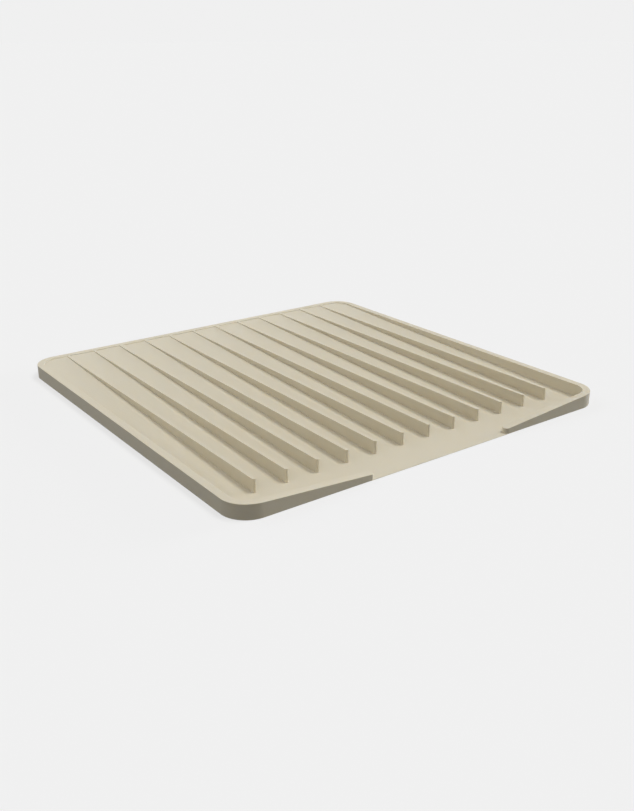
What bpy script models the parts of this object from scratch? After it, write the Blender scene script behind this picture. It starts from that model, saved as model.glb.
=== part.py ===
"""Self-draining sink mat: a silicone tray with a sloping floor, twelve ribs and a drain mouth.

Lengths are in metres and +Z is up. The origin is on the table under the middle of the mat, +X
runs to the right along the front edge and +Y to the rear, so the drain mouth faces -Y. The mat
is one moulding. It is divided at its creases into a floor, ribs and lengths of rim.
"""

import math

import bmesh
import bpy
from mathutils import Vector

# Mat as a whole
mat_width = 0.400
mat_depth = 0.398
corner_radius = 0.023
seam = 0.0003

# Rim
rim_height = 0.013
rim_thickness = 0.007
rim_edge_radius = 0.0003

# Drain mouth in the front rim
mouth_width = 0.148
mouth_rim_height = 0.0052
ramp_inset = 0.0165

# Floor
lip_thickness = 0.0003
rear_step = 0.0006
sheet_thickness = 0.0024

# Ribs
rib_count = 12
rib_width = 0.0032
rib_setback = 0.0343
rib_edge_radius = 0.0002
side_channel_width = 0.0288

# Cored underside
web_thickness = 0.003
skirt_thickness = 0.002
least_cell_depth = 0.001
cut_overrun = 0.002

# Fineness of the mesh
corner_steps = 12
round_end_steps = 10
edge_segments = 2
weld_distance = 0.000002
flat_angle = math.radians(0.05)
smooth_angle = math.radians(30)
quarter_turn = math.pi / 2

# Finish
silicone_color = (0.604, 0.565, 0.468, 1.0)
silicone_roughness = 0.55

# Places that several pieces share
half_width = mat_width / 2
half_depth = mat_depth / 2
half_mouth = mouth_width / 2
corner_x = half_width - corner_radius
corner_y = half_depth - corner_radius
rear_wall_y = half_depth - rim_thickness
rib_front_y = -half_depth + rib_setback
first_rib_x = -half_width + rim_thickness + side_channel_width + rib_width / 2
rib_pitch = -2 * first_rib_x / (rib_count - 1)
rib_places = [first_rib_x + rib_pitch * i for i in range(rib_count)]
ramp_start_x = half_width - ramp_inset
ramp_slope = (rim_height - mouth_rim_height) / (ramp_start_x - half_mouth)
floor_slope = (rim_height - rear_step - lip_thickness) / (rear_wall_y + half_depth)


def floor_top(y):
    """Height of the drain floor, which climbs evenly from the lip to the rear."""
    return lip_thickness + floor_slope * (y + half_depth)


def rim_top(x):
    """Height of the front rim: level at the corners, then falling evenly to the mouth."""
    return rim_height - ramp_slope * max(0, ramp_start_x - abs(x))


def arc(center, radius, start, end, steps):
    """Points along a round stretch of an outline, with both of its ends."""
    angles = [start + (end - start) * i / steps for i in range(steps + 1)]
    return [(center[0] + radius * math.cos(a), center[1] + radius * math.sin(a)) for a in angles]


def rectangle(low_x, high_x, low_y, high_y):
    """Outline of a rectangle."""
    return [(low_x, low_y), (high_x, low_y), (high_x, high_y), (low_x, high_y)]


def mirrored(outline):
    """The same outline on the other side of the line x = 0."""
    return [(-x, y) for x, y in reversed(outline)]


def on_side(outline, side):
    """An outline drawn for the right side of the mat, for side 1, or for the left, for side -1."""
    return outline if side > 0 else mirrored(outline)


def slab(name, outlines, bottom, top):
    """A flat slab between two levels: plan outlines filled, extruded, welded and made a mesh."""
    curve = bpy.data.curves.new(name, "CURVE")
    curve.dimensions = "2D"
    curve.fill_mode = "BOTH"
    curve.extrude = (top - bottom) / 2
    for outline in outlines:
        spline = curve.splines.new("POLY")
        spline.points.add(len(outline) - 1)
        for point, (x, y) in zip(spline.points, outline):
            point.co = (x, y, 0, 1)
        spline.use_cyclic_u = True
    drawing = bpy.data.objects.new(name, curve)
    drawing.location.z = (top + bottom) / 2
    bpy.context.scene.collection.objects.link(drawing)
    bpy.context.view_layer.update()
    evaluated = drawing.evaluated_get(bpy.context.evaluated_depsgraph_get())
    mesh = bpy.data.meshes.new_from_object(evaluated)
    mesh.transform(drawing.matrix_world)
    bpy.data.objects.remove(drawing)
    bpy.data.curves.remove(curve)

    shape = bmesh.new()
    shape.from_mesh(mesh)
    bmesh.ops.remove_doubles(shape, verts=shape.verts, dist=weld_distance)
    for level in (bottom, top):
        cap = [f for f in shape.faces if all(abs(v.co.z - level) < weld_distance for v in f.verts)]
        bmesh.ops.dissolve_faces(shape, faces=cap)
    bmesh.ops.recalc_face_normals(shape, faces=shape.faces)
    shape.to_mesh(mesh)
    shape.free()
    return mesh


def slope_top(mesh, height_at, crease_x=None):
    """Moves a slab's upper side to the height that a function of x and y gives.

    Where that height changes its slope, a crease is first cut across the slab.
    """
    shape = bmesh.new()
    shape.from_mesh(mesh)
    if crease_x is not None:
        whole = shape.verts[:] + shape.edges[:] + shape.faces[:]
        crease = (crease_x, 0, 0)
        bmesh.ops.bisect_plane(shape, geom=whole, dist=weld_distance, plane_co=crease, plane_no=(1, 0, 0))
    bottom = min(vertex.co.z for vertex in shape.verts)
    for vertex in shape.verts:
        if vertex.co.z > bottom + weld_distance:
            vertex.co.z = height_at(vertex.co.x, vertex.co.y)
    shape.to_mesh(mesh)
    shape.free()


def mark_top_edges(mesh, seam_sides):
    """Marks the edges between the top and the walls, which are to be rounded.

    Walls that meet the next length of the moulding stay sharp: seam_sides are the directions
    that they face.
    """
    shape = bmesh.new()
    shape.from_mesh(mesh)
    shape.normal_update()
    mark = shape.edges.layers.float.new("bevel_weight_edge")
    for edge in shape.edges:
        wall, top = sorted(edge.link_faces, key=lambda face: face.normal.z)
        if top.normal.z < math.cos(smooth_angle) or abs(wall.normal.z) > math.sin(flat_angle):
            continue
        if all(wall.normal.dot(Vector(side)) < math.cos(flat_angle) for side in seam_sides):
            edge[mark] = 1.0
    shape.to_mesh(mesh)
    shape.free()


def round_edges(piece, radius):
    """Rounds a piece's marked edges."""
    bevel = piece.modifiers.new("rounded_top_edges", "BEVEL")
    bevel.limit_method = "WEIGHT"
    bevel.width = radius
    bevel.segments = edge_segments
    bevel.use_clamp_overlap = False


def cut(piece, cutter):
    """Takes a cutter's shape out of a piece."""
    boolean = piece.modifiers.new("cut_by_" + cutter.name, "BOOLEAN")
    boolean.operation = "DIFFERENCE"
    boolean.solver = "EXACT"
    boolean.object = cutter


def silicone(name):
    """Matte beige silicone rubber."""
    material = bpy.data.materials.new(name)
    material.use_nodes = True
    shader = material.node_tree.nodes["Principled BSDF"]
    shader.inputs["Base Color"].default_value = silicone_color
    shader.inputs["Roughness"].default_value = silicone_roughness
    shader.inputs["Metallic"].default_value = 0.0
    return material


def finish(mesh, material):
    """Gives a mesh its material and shades its round walls smooth."""
    mesh.materials.append(material)
    mesh.shade_smooth()
    mesh.set_sharp_from_angle(angle=smooth_angle)


def add_piece(name, mesh, location, turn=0.0):
    """A named piece of the mat, in its place under the mat's empty."""
    piece = bpy.data.objects.new(name, mesh)
    piece.location = location
    piece.rotation_euler.z = turn
    piece.parent = mat_origin
    mat.objects.link(piece)
    return piece


def add_cutter(name, mesh):
    """A cutter, drawn as wire and left out of the mat."""
    cutter = bpy.data.objects.new(name, mesh)
    cutter.hide_render = True
    cutter.display_type = "WIRE"
    cutters.objects.link(cutter)
    return cutter


def floor_outline():
    """Plan of the floor: the space inside the rim, and a tongue that runs out of the mouth.

    The tongue goes round the rim's two round ends, and widens again in front of them.
    """
    inner_radius = corner_radius - rim_thickness - seam
    end_radius = rim_thickness / 2 + seam
    end_center = (half_mouth + rim_thickness / 2, -half_depth + rim_thickness / 2)
    lip_corner = 2 * quarter_turn + math.asin(rim_thickness / 2 / end_radius)
    right_half = (
        arc(end_center, end_radius, lip_corner, quarter_turn, round_end_steps)
        + arc((corner_x, -corner_y), inner_radius, -quarter_turn, 0, corner_steps)
        + arc((corner_x, corner_y), inner_radius, 0, quarter_turn, corner_steps)
    )
    return right_half + mirrored(right_half)


def cell_outlines():
    """Plans of the hollow cells under the floor, which leave a support web under each rib.

    The two outermost cells follow the floor's rounded rear corners.
    """
    front_y = -half_depth + (sheet_thickness + least_cell_depth - lip_thickness) / floor_slope
    rear_y = rear_wall_y - seam - skirt_thickness
    half_web = web_thickness / 2
    between_webs = zip(rib_places[:-1], rib_places[1:])
    inner = [rectangle(x + half_web, next_x - half_web, front_y, rear_y) for x, next_x in between_webs]

    web_x = rib_places[-1] + half_web
    side_x = half_width - rim_thickness - seam - skirt_thickness
    rounded = arc((corner_x, corner_y), side_x - corner_x, 0, quarter_turn, corner_steps)
    outer = [(web_x, front_y), (side_x, front_y)] + rounded + [(web_x, rear_y)]
    return [mirrored(outer)] + inner + [outer]


def make_floor(material):
    """The floor: solid towards the lip, and a sheet on webs where it has climbed high enough."""
    mesh = slab("floor_panel", [floor_outline()], 0, rim_height)
    slope_top(mesh, lambda x, y: floor_top(y))
    finish(mesh, material)
    cells = slab("floor_cells", cell_outlines(), -cut_overrun, rim_height)
    slope_top(cells, lambda x, y: floor_top(y) - sheet_thickness)
    cut(add_piece("floor_panel", mesh, (0, 0, 0)), add_cutter("floor_cells", cells))


def make_ribs(material):
    """The ribs: level tops, round front ends, and feet that follow the sloping floor."""
    length = rear_wall_y - seam - rib_front_y
    nose = arc((0, rib_width / 2), rib_width / 2, -2 * quarter_turn, 0, round_end_steps)
    mesh = slab("rib", [nose + [(rib_width / 2, length), (-rib_width / 2, length)]], 0, rim_height)
    mark_top_edges(mesh, [(0, 1, 0)])
    finish(mesh, material)

    whole_mat = rectangle(-half_width, half_width, -half_depth, half_depth)
    below = slab("space_below_ribs", [whole_mat], -cut_overrun, rim_height)
    slope_top(below, lambda x, y: floor_top(y) + seam)
    space_below = add_cutter("space_below_ribs", below)
    for number, x in enumerate(rib_places, 1):
        rib = add_piece(f"rib_{number:02d}", mesh, (x, rib_front_y, 0))
        round_edges(rib, rib_edge_radius)
        cut(rib, space_below)


def make_straight_rims(material):
    """The rim's straight lengths at full height: left, right and rear."""
    center_offset = rim_thickness / 2
    side_length = 2 * (corner_y - seam)
    rear_length = 2 * (corner_x - seam)
    lengths = {
        "rim_left": (side_length, (-half_width + center_offset, 0, 0), 0),
        "rim_right": (side_length, (half_width - center_offset, 0, 0), 0),
        "rim_rear": (rear_length, (0, half_depth - center_offset, 0), quarter_turn),
    }
    for name, (length, place, turn) in lengths.items():
        outline = rectangle(-center_offset, center_offset, -length / 2, length / 2)
        mesh = slab(name, [outline], 0, rim_height)
        mark_top_edges(mesh, [(0, 1, 0), (0, -1, 0)])
        finish(mesh, material)
        round_edges(add_piece(name, mesh, place, turn), rim_edge_radius)


def make_front_rims(material):
    """The two front lengths: each slopes down to the mouth and ends there in a half round."""
    end_radius = rim_thickness / 2
    length = corner_x - seam - half_mouth
    end = arc((end_radius, end_radius), end_radius, quarter_turn, 3 * quarter_turn, round_end_steps)
    outline = end + [(length, 0), (length, rim_thickness)]
    for name, side in (("rim_front_left", -1), ("rim_front_right", 1)):
        mesh = slab(name, [on_side(outline, side)], 0, rim_height)
        crease_x = side * (ramp_start_x - half_mouth)
        slope_top(mesh, lambda x, y: rim_top(abs(x) + half_mouth), crease_x)
        mark_top_edges(mesh, [(side, 0, 0)])
        finish(mesh, material)
        round_edges(add_piece(name, mesh, (side * half_mouth, -half_depth, 0)), rim_edge_radius)


def corner_outline(start):
    """Plan of a quarter of a ring about a corner's center, from an angle on."""
    end = start + quarter_turn
    outer = arc((0, 0), corner_radius, start, end, corner_steps)
    inner = arc((0, 0), corner_radius - rim_thickness, end, start, corner_steps)
    return outer + inner


def make_corners(material):
    """The rim's four corners. The ramps down to the mouth begin on the two front ones."""
    rear = slab("rear_corner", [corner_outline(0)], 0, rim_height)
    mark_top_edges(rear, [(0, -1, 0), (-1, 0, 0)])
    finish(rear, material)
    for name, side, turn in (("corner_rear_left", -1, quarter_turn), ("corner_rear_right", 1, 0)):
        round_edges(add_piece(name, rear, (side * corner_x, corner_y, 0), turn), rim_edge_radius)

    for name, side in (("corner_front_left", -1), ("corner_front_right", 1)):
        mesh = slab(name, [on_side(corner_outline(-quarter_turn), side)], 0, rim_height)
        crease_x = side * (ramp_start_x - corner_x)
        slope_top(mesh, lambda x, y: rim_top(side * x + corner_x), crease_x)
        mark_top_edges(mesh, [(0, 1, 0), (-side, 0, 0)])
        finish(mesh, material)
        round_edges(add_piece(name, mesh, (side * corner_x, -corner_y, 0)), rim_edge_radius)


for old_object in list(bpy.data.objects):
    bpy.data.objects.remove(old_object)
mat = bpy.data.collections.new("sink_mat")
cutters = bpy.data.collections.new("cutters")
bpy.context.scene.collection.children.link(mat)
bpy.context.scene.collection.children.link(cutters)
mat_origin = bpy.data.objects.new("sink_mat_origin", None)
mat.objects.link(mat_origin)

rim_silicone = silicone("rim_silicone")
make_floor(silicone("floor_silicone"))
make_ribs(silicone("rib_silicone"))
make_straight_rims(rim_silicone)
make_front_rims(rim_silicone)
make_corners(rim_silicone)
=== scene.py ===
# %% [markdown]
# # A self-draining sink mat in matte silicone
#
# The real mat is one soft moulding. Its floor climbs from a knife-thin lip to the rear, twelve ribs
# stand on that floor with their tops level, and a raised rim runs round three sides and a half: it
# slopes down and stops short of the middle of the front, where the water runs out.
#
# The imported model has those forms as separate solids with hairline seams between them, because it
# is made for sizes, contact and weight. The real mat has no seams, so this lesson builds each form
# again as one smooth surface that fits the same space, and gives it the soft edges and the dry,
# fine-grained skin of blasted silicone.
#
# The imported model is loaded first.

# %% Load the imported mat
import math

import bmesh
import bpy
import numpy as np
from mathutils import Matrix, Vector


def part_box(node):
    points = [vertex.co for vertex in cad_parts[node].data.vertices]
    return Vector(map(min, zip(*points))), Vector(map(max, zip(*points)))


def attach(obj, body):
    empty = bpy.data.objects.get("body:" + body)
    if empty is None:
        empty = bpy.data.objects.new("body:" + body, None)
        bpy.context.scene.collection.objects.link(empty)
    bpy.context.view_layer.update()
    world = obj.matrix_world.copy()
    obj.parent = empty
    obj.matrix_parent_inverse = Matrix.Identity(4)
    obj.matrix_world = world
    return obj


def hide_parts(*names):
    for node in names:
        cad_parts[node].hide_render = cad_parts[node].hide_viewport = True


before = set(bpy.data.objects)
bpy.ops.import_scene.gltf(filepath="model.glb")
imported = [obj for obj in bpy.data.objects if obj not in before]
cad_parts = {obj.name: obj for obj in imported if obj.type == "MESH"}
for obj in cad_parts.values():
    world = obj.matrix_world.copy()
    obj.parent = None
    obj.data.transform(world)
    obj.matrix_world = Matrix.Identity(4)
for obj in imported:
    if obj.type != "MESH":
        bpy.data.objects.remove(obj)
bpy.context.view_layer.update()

print("solids in the packed mat:", len(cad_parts))

# %% [markdown]
# ## Sizes
#
# A size could be typed again here, but then it could drift away from the solid that it belongs to.
# So the sizes that a solid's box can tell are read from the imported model: the rim's thickness is
# the width of its left length, the rear corner's box is as wide as the corner's radius, and each
# rib's box says where the rib stands. Only what a box can't tell has a number of its own.

# %% Read the sizes from the solids
low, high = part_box("rim_left")
rim_thickness = high.x - low.x
rim_height = high.z
half_width = -low.x

low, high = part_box("corner_rear_right")
corner_radius = high.x - low.x
half_depth = high.y

low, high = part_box("floor_panel")
floor_rear_y, floor_rear_height = high.y, high.z

half_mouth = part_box("rim_front_right")[0].x

rib_names = sorted(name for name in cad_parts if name.startswith("rib_"))
rib_boxes = [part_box(name) for name in rib_names]
rib_places = [(low.x + high.x) / 2 for low, high in rib_boxes]
rib_thickness = rib_boxes[0][1].x - rib_boxes[0][0].x
rib_front_y = rib_boxes[0][0].y

print(f"mat {2 * half_width:.3f} by {2 * half_depth:.3f} m")
print(f"rim {rim_height:.4f} m high, {rim_thickness:.4f} m thick")
print(f"{len(rib_places)} ribs {rib_thickness:.4f} m thick")
print(f"{rib_places[1] - rib_places[0]:.4f} m from one rib to the next")

# %% Name the sizes that no box tells
lip_thickness = 0.0003
mouth_rim_height = 0.0052
ramp_inset = 0.0165
ramp_blend = 0.004
rim_edge_radius = 0.0003
rim_foot_radius = 0.0003
rib_edge_radius = 0.0002
rib_sink = 0.0005
rib_tail_slope = 0.5
sheet_thickness = 0.0024
web_thickness = 0.003
skirt_thickness = 0.002
least_cell_depth = 0.001
cut_overrun = 0.001
weld_distance = 0.000001

corner_steps = 24
nose_steps = 16
edge_steps = 4
quarter = math.pi / 2
crease_angle = math.radians(30)

# %% [markdown]
# ## The two heights that shape the mat
#
# Seen from the side, everything on the mat lies between two heights. The floor climbs evenly from
# the lip to the rear wall, so its height is a straight-line function of y. The rim is level, but
# along the front it falls evenly towards the mouth, so its height is a function of x. Where the
# fall begins, the real rim has no crease but a soft change of slope. A parabola that touches both
# lines makes it, and the same parabola works for a whole array of points at once.

# %% Heights of the table, the floor and the rim
floor_slope = (floor_rear_height - lip_thickness) / (floor_rear_y + half_depth)
ramp_start_x = half_width - ramp_inset
ramp_slope = (rim_height - mouth_rim_height) / (ramp_start_x - half_mouth)


def level(height):
    """The same height everywhere, such as the table's, which is 0."""
    return lambda x, y: np.full_like(x, height)


def floor_top(x, y):
    """Height of the drain floor: the lip's thickness, plus the slope times the way from the lip."""
    return lip_thickness + floor_slope * (y + half_depth)


def rim_top(x, y):
    """Height of the rim: its full height, less the ramp's slope times the way down the ramp.

    The way down grows as a parabola over the blend's length and evenly after it. It counts only
    along the front.
    """
    past = ramp_start_x - np.abs(x)
    blended = (past + ramp_blend) ** 2 / (4 * ramp_blend)
    way_down = np.where(np.abs(past) < ramp_blend, blended, np.maximum(past, 0))
    return rim_height - ramp_slope * np.where(y < 0, way_down, 0)


print(f"the floor climbs {math.degrees(math.atan(floor_slope)):.2f} degrees")
print(f"the front ramps fall {math.degrees(math.atan(ramp_slope)):.2f} degrees")

# %% [markdown]
# ## A cross-section carried round a loop
#
# The rim and the ribs are the same kind of form: a wall of even thickness with a round end. A box
# with a Bevel would make one, but its round ends and corners would need as many boxes. Here half
# of the wall's cross-section is carried round a closed loop instead. The loop keeps to the wall's
# middle line and faces first one way, then the other, so one formula makes both sides and the
# round ends, and the two halves meet on the middle line, where they are merged.

# %% Carry half a cross-section round a loop
def carry(middle, facing, half, inset, share, rise, bottom, top):
    """Points of a wall, as an array [station, row, xyz].

    Station s and row t give the point middle(s) + (half - inset(t)) * direction(facing(s)). Its
    height is bottom + share(t) * (top - bottom) + rise(t), with bottom and top taken at that place.
    """
    direction = np.stack([np.cos(facing), np.sin(facing)], axis=-1)
    plan = middle[:, None] + (half - inset)[None, :, None] * direction[:, None]
    x, y = plan[..., 0], plan[..., 1]
    height = (1 - share) * bottom(x, y) + share * top(x, y) + rise
    return np.concatenate([plan, height[..., None]], axis=-1)


def half_section(half, foot_radius, edge_radius):
    """Rows of half a wall's section, from the middle of its bottom up to the middle of its top.

    Both roundings are quarter circles: an angle's sine and cosine, times the radius, give how far
    in and how far up a row lies.
    """
    turn = np.linspace(0, quarter, edge_steps + 1)
    if foot_radius:
        foot_inset, foot_rise = foot_radius * (1 - np.sin(turn)), foot_radius * (1 - np.cos(turn))
    else:
        foot_inset, foot_rise = np.zeros(1), np.zeros(1)
    edge_inset, edge_rise = edge_radius * (1 - np.cos(turn)), -edge_radius * (1 - np.sin(turn))
    inset = np.concatenate([[half], foot_inset, edge_inset, [half]])
    rise = np.concatenate([[0], foot_rise, edge_rise, [0]])
    share = np.repeat([0.0, 1.0], [1 + len(foot_inset), 1 + len(edge_inset)])
    return inset, share, rise


# %% Turn an array of points into a mesh
def add_surface(name, points):
    """Makes a piece from points [station, row, xyz] whose last station joins the first.

    Each point and its three neighbours ahead make a quad. Points that fall together are merged,
    which closes the surface along the middle lines.
    """
    stations, rows = points.shape[:2]
    here = np.arange(stations * rows).reshape(stations, rows)
    ahead = np.roll(here, -1, axis=0)
    quads = np.stack([here[:, :-1], ahead[:, :-1], ahead[:, 1:], here[:, 1:]], axis=-1)
    mesh = bpy.data.meshes.new(name)
    mesh.from_pydata(points.reshape(-1, 3).tolist(), [], quads.reshape(-1, 4).tolist())
    shape = bmesh.new()
    shape.from_mesh(mesh)
    bmesh.ops.remove_doubles(shape, verts=shape.verts, dist=weld_distance)
    bmesh.ops.recalc_face_normals(shape, faces=shape.faces)
    open_edges = sum(not edge.is_manifold for edge in shape.edges)
    shape.to_mesh(mesh)
    shape.free()
    mesh.shade_smooth()
    piece = bpy.data.objects.new(name, mesh)
    bpy.context.scene.collection.objects.link(piece)
    piece.modifiers.new("flat_faces_stay_flat", "WEIGHTED_NORMAL")
    print(f"{name}: {len(mesh.polygons)} faces, {open_edges} open edges")
    return piece


# %% [markdown]
# ## The rim
#
# The rim is one wall that starts at the drain mouth with a round end, slopes up along the front,
# turns the four corners and comes back down to the mouth on the other side. Nine solids
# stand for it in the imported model, because a designer wants to name and change its lengths. Here
# it is one surface, so that light runs along it without a break. Its middle line needs stations
# only on the corners: a straight run is the long quad between two of them.

# %% Middle line of the rim
half_rim = rim_thickness / 2
corner_x, corner_y = half_width - corner_radius, half_depth - corner_radius
corner_centers = np.array([
    (corner_x, -corner_y),
    (corner_x, corner_y),
    (-corner_x, corner_y),
    (-corner_x, -corner_y),
])
corner_start = np.arange(-1, 3) * quarter
corner_facing = (corner_start[:, None] + np.linspace(0, quarter, corner_steps + 1)).ravel()
right_nose = np.array([half_mouth + half_rim, -half_depth + half_rim])
left_nose = right_nose * (-1, 1)


def round_the_corners(radius):
    """Points round the four corners: each corner's centre plus the radius times the direction."""
    direction = np.stack([np.cos(corner_facing), np.sin(corner_facing)], axis=-1)
    return np.repeat(corner_centers, corner_steps + 1, axis=0) + radius * direction


path = np.concatenate([[right_nose], round_the_corners(corner_radius - half_rim), [left_nose]])
path_facing = np.concatenate([[-quarter], corner_facing, [3 * quarter]])
print("stations on the rim's middle line:", len(path))

# %% Make the rim
nose_turn = np.linspace(0, 2 * quarter, nose_steps + 1)[1:-1]
rim_middle = np.concatenate([
    path,
    np.tile(left_nose, (len(nose_turn), 1)),
    path[::-1],
    np.tile(right_nose, (len(nose_turn), 1)),
])
rim_facing = np.concatenate([
    path_facing,
    3 * quarter + nose_turn,
    path_facing[::-1] + 2 * quarter,
    quarter + nose_turn,
])
rim_rows = half_section(half_rim, rim_foot_radius, rim_edge_radius)
rim_points = carry(rim_middle, rim_facing, half_rim, *rim_rows, level(0.0), rim_top)
rim = add_surface("raised_rim", rim_points)

# %% [markdown]
# ## The ribs
#
# Each rib is the same wall again, thinner and straight: a round nose in front, level on top, and a
# foot that follows the sloping floor. The foot goes half a millimetre into the floor, so that no
# hairline shows between them. The round rear end lies inside the rear rim, and its top falls away
# there, because two level faces at one height would shade each other. All twelve ribs share one
# formula and differ only in their x.

# %% Make the ribs
half_rib = rib_thickness / 2
rib_rear_y = half_depth - rim_thickness + rim_edge_radius
rib_rows = half_section(half_rib, 0, rib_edge_radius)


def rib_foot(x, y):
    """Height of a rib's foot: a little below the sloping floor."""
    return floor_top(x, y) - rib_sink


def rib_top(x, y):
    """Height of a rib's top: level with the rim, and falling once it is inside the rear rim."""
    return rim_height - rib_tail_slope * np.maximum(y - rib_rear_y, 0)


def rib_points(x):
    """A rib at x: half a turn round its front end, then half a turn round its rear end."""
    half_turn = np.linspace(0, 2 * quarter, nose_steps + 1)
    facing = np.concatenate([2 * quarter + half_turn, 4 * quarter + half_turn])
    end_y = np.repeat([rib_front_y + half_rib, rib_rear_y], nose_steps + 1)
    middle = np.column_stack([np.full_like(end_y, x), end_y])
    return carry(middle, facing, half_rib, *rib_rows, rib_foot, rib_top)


ribs = [add_surface("drain_" + name, rib_points(x)) for name, x in zip(rib_names, rib_places)]

# %% [markdown]
# ## The floor
#
# The floor is a sloping slab that fits inside the rim and runs out between its two round ends to
# the lip. Its plan is worked out from the same corner centres and noses as the rim's. From below,
# the slab is hollowed into cells, as a silicone mat of this height has to be to stay light and
# even in thickness: a sheet is left on top, with a web under each rib. The cells are slabs too,
# and a Boolean takes them out, because a face with thirteen holes is one that no grid makes well.

# %% Slabs between two heights
def add_slab(name, outline, bottom, top):
    """Makes a closed slab from a plan outline: a ring of points at each height, walls and two caps.

    Point (s, 0) is outline(s) at the bottom's height there, and point (s, 1) at the top's.
    """
    count = len(outline)
    x, y = outline[:, 0], outline[:, 1]
    rings = [np.column_stack([x, y, height(x, y)]) for height in (bottom, top)]
    ring = np.arange(count)
    ahead = np.roll(ring, -1)
    walls = np.column_stack([ring, ahead, ahead + count, ring + count])
    mesh = bpy.data.meshes.new(name)
    faces = walls.tolist() + [ring[::-1].tolist(), (ring + count).tolist()]
    mesh.from_pydata(np.concatenate(rings).tolist(), [], faces)
    slab = bpy.data.objects.new(name, mesh)
    bpy.context.scene.collection.objects.link(slab)
    return slab


# %% Plan of the floor
floor_reach = half_rim - rim_foot_radius
round_nose = 3 * quarter - np.linspace(0, 2 * quarter, nose_steps + 1)
right_mouth = right_nose + floor_reach * np.stack([np.cos(round_nose), np.sin(round_nose)], axis=-1)
left_mouth = right_mouth[::-1] * (-1, 1)
lip_corner = np.array([right_nose[0], -half_depth])
floor_outline = np.concatenate([
    [lip_corner * (-1, 1), lip_corner],
    right_mouth,
    round_the_corners(corner_radius - rim_thickness + rim_foot_radius),
    left_mouth,
])
floor = add_slab("drain_floor", floor_outline, level(0.0), floor_top)
print("points in the floor's plan:", len(floor_outline))

# %% Plans of the cells
cell_front_y = -half_depth + (sheet_thickness + least_cell_depth - lip_thickness) / floor_slope
cell_rear_y = floor_rear_y - skirt_thickness
cell_side_x = half_width - rim_thickness - skirt_thickness
web_sides = np.array(rib_places)[:, None] + np.array([-web_thickness, web_thickness]) / 2


def cell_plan(low_x, high_x):
    """A cell between two webs: a plain rectangle."""
    front = [(low_x, cell_front_y), (high_x, cell_front_y)]
    rear = [(high_x, cell_rear_y), (low_x, cell_rear_y)]
    return np.array(front + rear)


def side_cell_plan():
    """The cell beside the right rim, whose rear corner is round like the rim's."""
    turn = np.linspace(0, quarter, corner_steps + 1)
    direction = np.stack([np.cos(turn), np.sin(turn)], axis=-1)
    corner = (corner_x, corner_y) + (cell_side_x - corner_x) * direction
    web_x = web_sides[-1, 1]
    front = [(web_x, cell_front_y), (cell_side_x, cell_front_y)]
    return np.concatenate([front, corner, [(web_x, cell_rear_y)]])


cell_plans = [cell_plan(*sides) for sides in zip(web_sides[:-1, 1], web_sides[1:, 0])]
cell_plans += [side_cell_plan(), side_cell_plan()[::-1] * (-1, 1)]
print(f"{len(cell_plans)} cells, the middle ones {web_sides[1, 0] - web_sides[0, 1]:.4f} m wide")

# %% Hollow the floor
def cell_ceiling(x, y):
    """Height of a cell's ceiling: the sheet's thickness below the top of the floor."""
    return floor_top(x, y) - sheet_thickness


def hollow(piece, plans, ceiling):
    """Takes a cell of each plan out of a piece, from below the table up to the ceiling's height."""
    cells = [add_slab("cell", plan, level(-cut_overrun), ceiling) for plan in plans]
    for cell in cells:
        cut = piece.modifiers.new("cell", "BOOLEAN")
        cut.operation, cut.solver, cut.object = "DIFFERENCE", "EXACT", cell
    finished = piece.evaluated_get(bpy.context.evaluated_depsgraph_get())
    cored = bpy.data.meshes.new_from_object(finished)
    piece.modifiers.clear()
    piece.data = cored
    for cell in cells:
        bpy.data.objects.remove(cell)
    cored.shade_smooth()
    cored.set_sharp_from_angle(angle=crease_angle)


hollow(floor, cell_plans, cell_ceiling)
print("faces in the hollowed floor:", len(floor.data.polygons))

# %% [markdown]
# ## Shader maths as Python
#
# A material is a graph of nodes, and a graph is hard to read in code. One small class wraps a
# socket, so that an expression such as 1 - mask adds its Math node, and every other node comes
# from one method: its type, its settings, then the values or links of its sockets.

# %% A socket that Python's operators work on
class Wire:
    """An output socket in a node tree. Arithmetic on it adds Math nodes."""

    def __init__(self, tree, socket=None):
        self.tree = tree
        self.socket = socket

    def node(self, kind, settings=None, sockets=None, output=0):
        """Adds a node, with its settings first and its sockets next, and returns one of its outputs."""
        made = self.tree.nodes.new(kind)
        for name, value in (settings or {}).items():
            setattr(made, name, value)
        for name, value in (sockets or {}).items():
            if isinstance(value, Wire):
                self.tree.links.new(value.socket, made.inputs[name])
            else:
                made.inputs[name].default_value = value
        return Wire(self.tree, made.outputs[output] if made.outputs else None)

    def math(self, operation, first, second):
        """Adds a Math node. Its first and second value can each be a number or a Wire."""
        return self.node("ShaderNodeMath", {"operation": operation}, {0: first, 1: second})

    def __add__(self, other):
        return self.math("ADD", self, other)

    def __sub__(self, other):
        return self.math("SUBTRACT", self, other)

    def __rsub__(self, other):
        return self.math("SUBTRACT", other, self)

    def __mul__(self, other):
        return self.math("MULTIPLY", self, other)

    __radd__ = __add__
    __rmul__ = __mul__


def empty_tree(owner):
    """Clears the node tree of a material or world, and wraps it."""
    owner.use_nodes = True
    owner.node_tree.nodes.clear()
    return Wire(owner.node_tree)


# %% [markdown]
# ## Matte silicone
#
# Silicone from a blasted mould is dry to the eye. It has no clear highlight, only a pale bloom where
# it is seen at a flat angle, which the shader's own sheen gives. Close up, the skin has a fine
# grain, copied from the blasted steel, and over a few centimetres the pigment and the gloss vary a
# little. A flat pattern could be laid over the mat, but it would smear down the ribs' sides. Noise
# in the object's own space fills every side alike, so one cloudy noise moves the colour and the
# roughness by a few percent, and two finer ones make dimples and grains for a Bump node. The grain
# has a small share in the colour too.
#
# Silicone is also a little cloudy: most light goes into it, wanders for less than a millimetre and
# comes out again beside the place where it went in, red light a little further off than blue. That
# softens the mat's small edges. The shader has it as subsurface scattering, whose reach in metres
# is the same all over, so it is set on the shader's own sockets.

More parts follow.
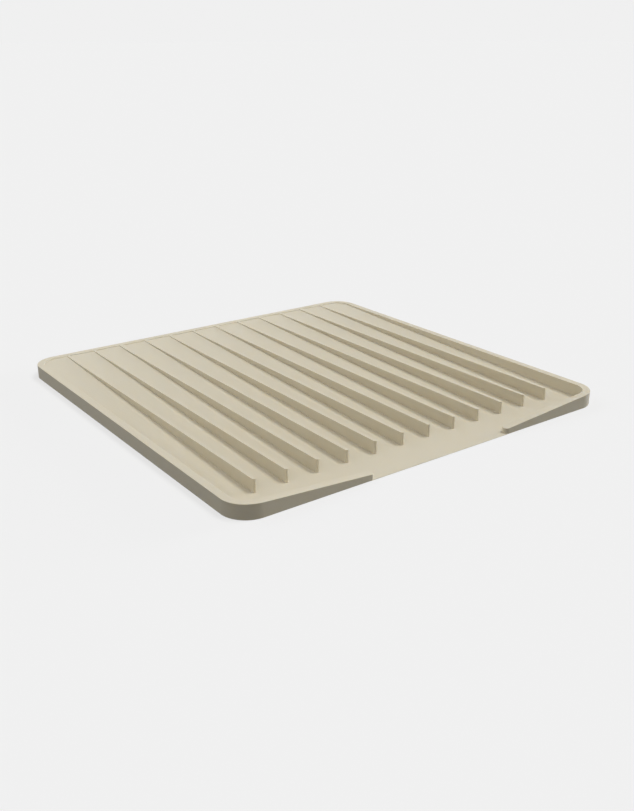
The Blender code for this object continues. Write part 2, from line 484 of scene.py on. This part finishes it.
# %% The silicone's finish
silicone_color = (0.658, 0.599, 0.462, 1)
silicone_light_color = (0.678, 0.619, 0.482, 1)
silicone_roughness = 0.6
roughness_change = 0.1
silicone_ior = 1.41
cloud_scale, dimple_scale, grain_scale = 28, 700, 2600
cloud_detail, dimple_detail, grain_detail = 3, 1, 2
cloud_share = 0.7
grain_share = 0.6
skin_strength = 0.5
skin_depth = 0.0001
light_let_in = 0.8
light_reach = 0.0007
light_reach_by_color = (1.0, 0.9, 0.7)
bloom_weight = 0.12
bloom_roughness = 0.5
noise_average = 0.5
mix_color_a, mix_color_b, mix_color_result = 6, 7, 2


def matte_silicone():
    """Matte beige silicone rubber with a blasted skin.

    The colour goes from the darker to the lighter beige by 0.7 of the clouds and 0.3 of the grain.
    The roughness is 0.6, plus 0.1 times the clouds' departure from their average. The skin's height
    is 0.6 of the grain and 0.4 of the dimples.
    """
    material = bpy.data.materials.new("matte_silicone")
    tree = empty_tree(material)
    place = tree.node("ShaderNodeTexCoord", output="Object")

    def noise(scale, detail):
        """Noise in the object's space. The scale counts its lumps in a metre."""
        sockets = {"Vector": place, "Scale": scale, "Detail": detail}
        return tree.node("ShaderNodeTexNoise", None, sockets)

    clouds = noise(cloud_scale, cloud_detail)
    grain = noise(grain_scale, grain_detail)
    dimples = noise(dimple_scale, dimple_detail)
    color_mix = {
        "Factor": clouds * cloud_share + grain * (1 - cloud_share),
        mix_color_a: silicone_color,
        mix_color_b: silicone_light_color,
    }
    color = tree.node("ShaderNodeMix", {"data_type": "RGBA"}, color_mix, mix_color_result)
    skin = tree.node("ShaderNodeBump", None, {
        "Height": grain * grain_share + dimples * (1 - grain_share),
        "Strength": skin_strength,
        "Distance": skin_depth,
    })
    shader = tree.node("ShaderNodeBsdfPrincipled", None, {
        "Base Color": color,
        "Roughness": silicone_roughness + (clouds - noise_average) * roughness_change,
        "IOR": silicone_ior,
        "Subsurface Weight": light_let_in,
        "Subsurface Radius": light_reach_by_color,
        "Subsurface Scale": light_reach,
        "Sheen Weight": bloom_weight,
        "Sheen Roughness": bloom_roughness,
        "Normal": skin,
    })
    tree.node("ShaderNodeOutputMaterial", None, {"Surface": shader})
    return material


silicone = matte_silicone()
for piece in [floor, rim, *ribs]:
    piece.data.materials.clear()
    piece.data.materials.append(silicone)
print("nodes in the silicone:", len(silicone.node_tree.nodes))

# %% [markdown]
# ## Where each piece belongs
#
# The mat has no joint, so every piece rides on the one body, root. The solids that each new piece
# stands for are hidden, and its finish is the silicone that it was given above.

# %% Ride and replace
rim_nodes = sorted(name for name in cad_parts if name.startswith(("rim_", "corner_")))
stands_for = {floor: ["floor_panel"], rim: rim_nodes}
stands_for |= {rib: [name] for rib, name in zip(ribs, rib_names)}
for piece, nodes in stands_for.items():
    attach(piece, "root")
    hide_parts(*nodes)
print("pieces:", len(stands_for), "for", sum(map(len, stands_for.values())), "solids")

# %% [markdown]
# ## A pale studio
#
# The mat lies in a seamless pale room. A real studio would have a sheet of paper that curves up
# behind the mat. Here the paper is a large plane, and the sky behind it is as pale. The camera and
# reflections see a paper that is partly a glow of its own, which keeps the background even, and
# partly lit, which keeps the mat's soft shadow. The soft light that goes from the paper and the sky
# to the mat is weaker and plain, so that the background's paleness puts no extra light on the mat.

# %% Floor and sky
pale = 0.871
lit_share = 0.25
sky_strength = 0.2
floor_albedo = 0.06
floor_half_size = 30.0
floor_height = -0.00005


def seen_directly(tree):
    """1 for rays from the camera, from gloss and through glass, and 0 for the rays of soft light."""
    camera_ray = tree.node("ShaderNodeLightPath", output="Is Camera Ray")
    glossy_ray = tree.node("ShaderNodeLightPath", output="Is Glossy Ray")
    glass_ray = tree.node("ShaderNodeLightPath", output="Is Transmission Ray")
    return tree.math("MINIMUM", camera_ray + glossy_ray + glass_ray, 1.0)


def grey(value):
    """An opaque grey: the value as red, green and blue, and an alpha of 1."""
    return (value, value, value, 1)


corners = floor_half_size * np.array([(-1, -1), (1, -1), (1, 1), (-1, 1)])
corners = np.column_stack([corners, np.full(len(corners), floor_height)])
plane = bpy.data.meshes.new("studio_floor")
plane.from_pydata(corners.tolist(), [], [(0, 1, 2, 3)])
studio_floor = bpy.data.objects.new("studio_floor", plane)
bpy.context.scene.collection.objects.link(studio_floor)

paper = bpy.data.materials.new("pale_paper")
tree = empty_tree(paper)
plain = tree.node("ShaderNodeBsdfDiffuse", None, {"Color": grey(floor_albedo)})
glow = tree.node("ShaderNodeEmission", None, {"Color": grey(pale), "Strength": 1})
lit = tree.node("ShaderNodeBsdfDiffuse", None, {"Color": grey(1)})
seen = tree.node("ShaderNodeMixShader", None, {"Fac": lit_share, 1: glow, 2: lit})
tree.node("ShaderNodeOutputMaterial", None, {
    "Surface": tree.node("ShaderNodeMixShader", None, {"Fac": seen_directly(tree), 1: plain, 2: seen}),
})
plane.materials.append(paper)

sky = bpy.data.worlds.new("studio_sky")
bpy.context.scene.world = sky
tree = empty_tree(sky)
plain = tree.node("ShaderNodeBackground", None, {"Color": grey(1), "Strength": sky_strength})
seen = tree.node("ShaderNodeBackground", None, {"Color": grey(pale), "Strength": 1})
tree.node("ShaderNodeOutputWorld", None, {
    "Surface": tree.node("ShaderNodeMixShader", None, {"Fac": seen_directly(tree), 1: plain, 2: seen}),
})
print(f"the sky gives {sky_strength} of light and shows as {pale}")

# %% [markdown]
# ## Soft lamps
#
# The shadows in the photograph tell where its light stood. Each rib has a soft shadow a few
# millimetres wide on its left, so the main light is high on the right and looks wide. A low light
# skims in from the right: it brightens the right front corner and the ribs' right sides, which
# throw warm light on the floor between them. Three weaker lights fill the outer walls. Lamps close
# to the mat would fade across it, so each is a sun with a wide disc, and with the sky they add up
# to a little under 1 on the floor, where a colour renders about as it is written.

# %% Hang the lamps
def add_sun(name, azimuth, elevation, width, strength):
    """Adds a distant round softbox, and returns its light on a level surface.

    Azimuth 0 is the front and 90 the right. The strength is its light on a surface that faces it,
    and a sun's energy is pi times that. A level surface gets the strength times the sine of the
    elevation.
    """
    lamp = bpy.data.lights.new(name, "SUN")
    lamp.angle = math.radians(width)
    lamp.energy = strength * math.pi
    sun = bpy.data.objects.new(name, lamp)
    sun.rotation_euler = (math.radians(90 - elevation), 0, math.radians(azimuth))
    bpy.context.scene.collection.objects.link(sun)
    return strength * math.sin(math.radians(elevation))


floor_light = sky_strength + sum([
    add_sun("key_softbox", azimuth=67, elevation=65, width=22, strength=0.455),
    add_sun("low_right_softbox", azimuth=82, elevation=5, width=18, strength=0.50),
    add_sun("rear_softbox", azimuth=180, elevation=35, width=40, strength=0.05),
    add_sun("left_softbox", azimuth=225, elevation=35, width=40, strength=0.156),
    add_sun("front_softbox", azimuth=315, elevation=35, width=40, strength=0.185),
])
print(f"light on a level surface: {floor_light:.2f}")

# %% [markdown]
# ## The camera
#
# The camera stands where the photograph was taken from. Its place and tilt were worked out from
# the mat's straight edges, which run to two vanishing points. The focal length is measured in
# pixels of a picture 811 pixels high, and the sensor's long side scales it to millimetres.

# %% Camera
picture_height = 811
focal_pixels = 932.8
sensor_size = 36.0
camera_place = (-0.49844, -0.6996, 0.3248)
camera_pitch = math.radians(68.168)
camera_heading = math.radians(-36.353)

lens = bpy.data.cameras.new("camera")
lens.sensor_width = sensor_size
lens.lens = sensor_size * focal_pixels / picture_height
camera = bpy.data.objects.new("camera", lens)
camera.location = camera_place
camera.rotation_euler = (camera_pitch, 0, camera_heading)
bpy.context.scene.collection.objects.link(camera)
bpy.context.scene.camera = camera
bpy.context.scene.view_settings.view_transform = "Standard"
print(f"a lens of {lens.lens:.1f} mm, {camera_place[2]:.3f} m above the table")
